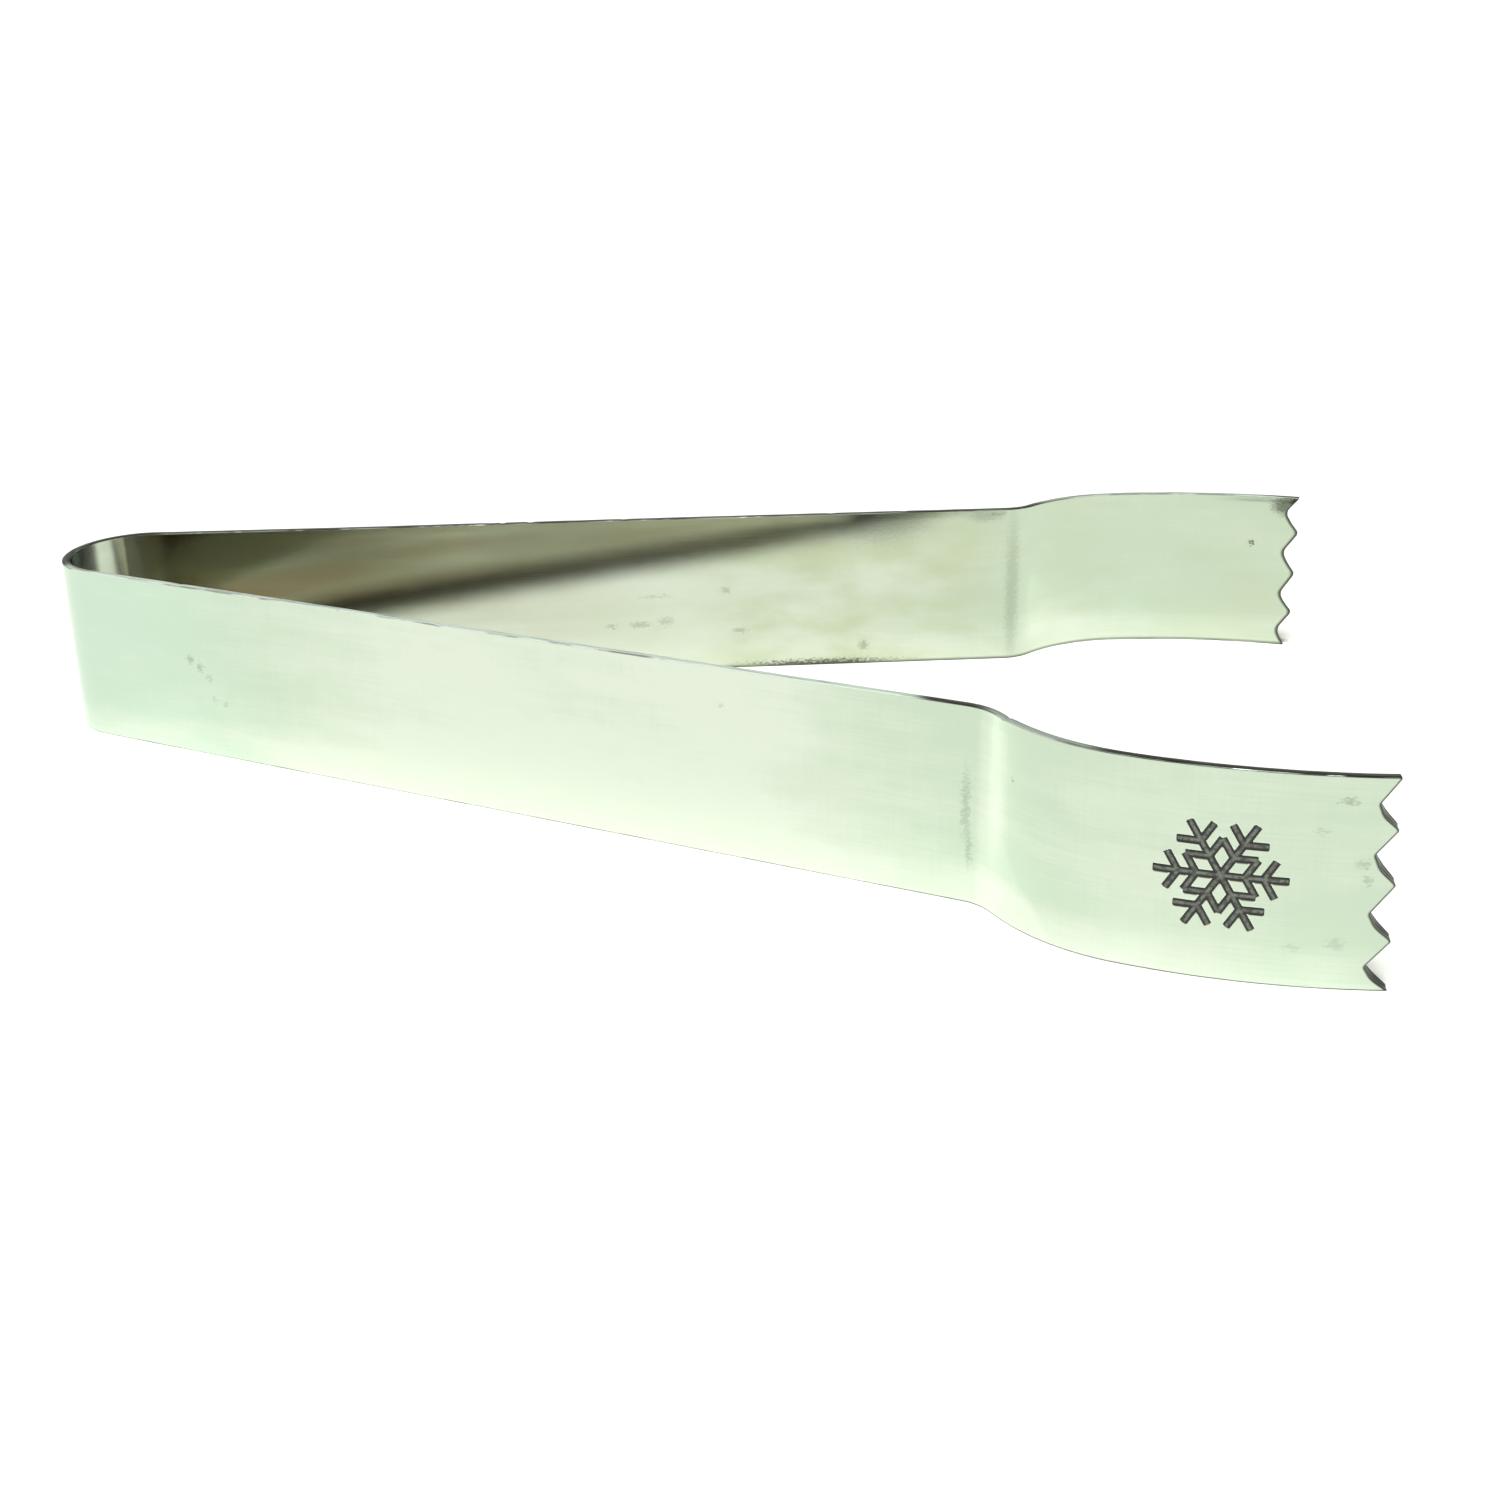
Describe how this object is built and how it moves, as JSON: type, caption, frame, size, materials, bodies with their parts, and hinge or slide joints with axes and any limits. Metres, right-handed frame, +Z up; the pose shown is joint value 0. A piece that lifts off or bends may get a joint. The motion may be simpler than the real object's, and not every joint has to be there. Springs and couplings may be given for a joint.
{
  "type": "ice tongs",
  "caption": "One-piece spring strip bent into a bow, two straight arms and two curved jaws with saw-toothed ends, for picking up ice.",
  "frame": {"origin": "centre of the bounding box in plan, on the long edge that the tongs rest on", "axes": "+X from the bow towards the tooth tips, along the tongs; +Z up, across the width of the strip; the front arm, whose jaw carries the engraved motif, is on the -Y side"},
  "size_m": [0.1524, 0.09, 0.021],
  "materials": {
    "satin_steel": "satin, with a pale green cast",
    "dark_fill": "matte"
  },
  "bodies": {
    "bow": {"spring_bow": "satin_steel"},
    "front_side": {"front_arm": "satin_steel", "front_jaw": "satin_steel", "motif_fill": "dark_fill"},
    "rear_side": {"rear_arm": "satin_steel", "rear_jaw": "satin_steel"}
  },
  "joints": [
    {"name": "front_arm_squeeze", "type": "hinge", "parent": "bow", "child": "front_side", "pos_m": [-0.07372, -0.00467, 0.0105], "axis": [0, 0, 1], "range_deg": [0, 16.2], "stiffness_Nm_per_rad": 2.5},
    {"name": "rear_arm_squeeze", "type": "hinge", "parent": "bow", "child": "rear_side", "pos_m": [-0.07372, 0.00467, 0.0105], "axis": [0, 0, 1], "range_deg": [-16.2, 0], "stiffness_Nm_per_rad": 2.5}
  ],
  "couplings": [
    {"joint": "rear_arm_squeeze", "follows": "front_arm_squeeze", "ratio": -1}
  ]
}
